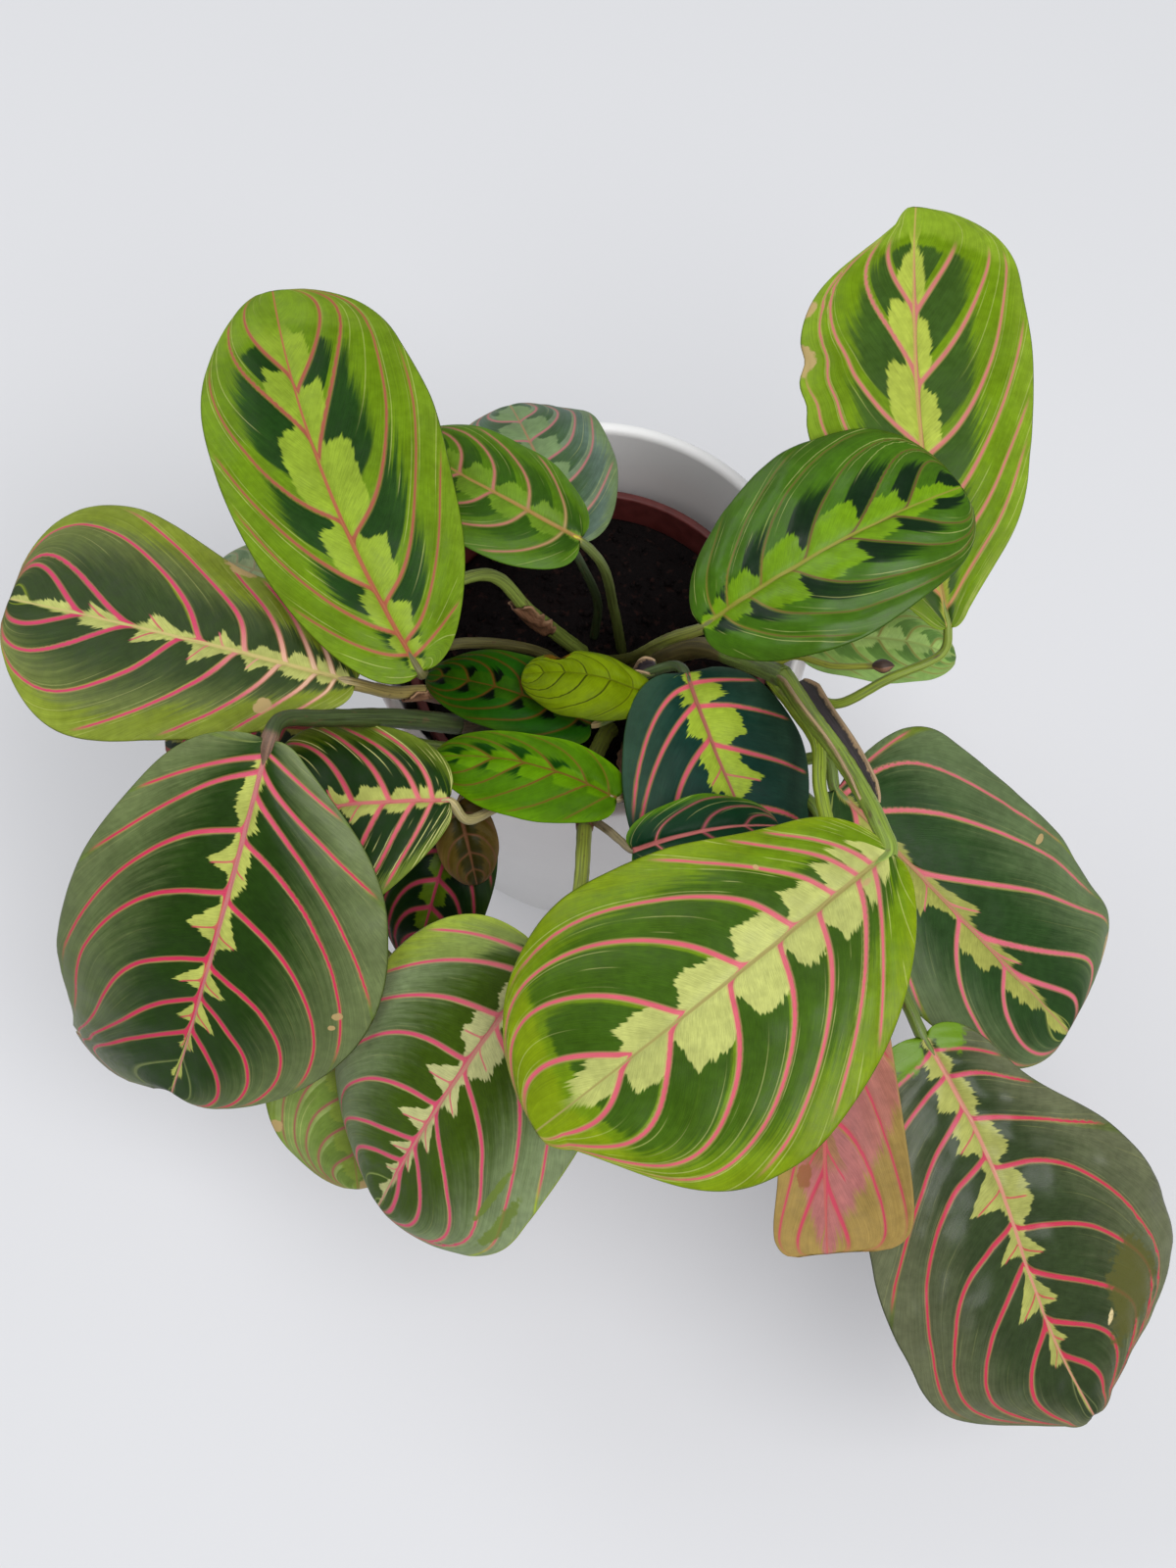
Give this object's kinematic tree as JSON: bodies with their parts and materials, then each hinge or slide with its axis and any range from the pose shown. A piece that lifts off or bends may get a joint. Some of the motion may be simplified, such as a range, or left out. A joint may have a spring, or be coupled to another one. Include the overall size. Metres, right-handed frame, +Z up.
{
  "type": "potted prayer plant",
  "caption": "Prayer plant with patterned oval leaves on arching stems, in a nursery pot of soil inside a plain round white ceramic pot",
  "frame": {"origin": "middle of the white pot's flat underside", "axes": "+Z up, the pot's own axis; -Y towards the side that the large front leaves hang over; +X to the right seen from there"},
  "size_m": [0.3296, 0.323, 0.213],
  "materials": {
    "white_glaze": "satin",
    "brown_plastic": "matte",
    "soil": "crumbly",
    "stem": "satin",
    "lime_leaf": "satin",
    "green_leaf": "satin",
    "dark_leaf": "glossy",
    "pink_underside": "satin",
    "dry_sheath": "papery"
  },
  "bodies": {
    "root": {"outer_pot": "white_glaze", "nursery_pot": "brown_plastic", "soil": "soil", "stem_left": "stem", "stem_right": "stem", "stem_low_right": "stem", "stem_front": "stem", "leaf_back_right": "lime_leaf", "leaf_upper_right": "green_leaf", "leaf_low_right": "lime_leaf", "leaf_back_left": "lime_leaf", "leaf_left": "green_leaf", "leaf_front_left": "green_leaf", "leaf_front_middle": "green_leaf", "leaf_centre_lime": "lime_leaf", "leaf_right": "green_leaf", "leaf_front_right": "dark_leaf", "leaf_hanging": "pink_underside", "leaf_centre_dark": "dark_leaf", "leaf_small_green": "lime_leaf", "leaf_small_yellow": "lime_leaf", "leaf_inner_left": "green_leaf", "leaf_back_inner": "green_leaf", "leaf_back_outer": "green_leaf", "leaf_left_inner": "green_leaf", "leaf_left_low": "green_leaf", "leaf_front_dark": "dark_leaf", "leaf_small_brown": "dark_leaf", "leaf_front_low": "lime_leaf", "leaf_folded": "green_leaf", "leaf_back_low": "green_leaf", "dry_sheath_left": "dry_sheath", "dry_sheath_back": "dry_sheath", "dry_sheath_middle": "dry_sheath", "flower_stalk": "stem"}
  },
  "joints": []
}
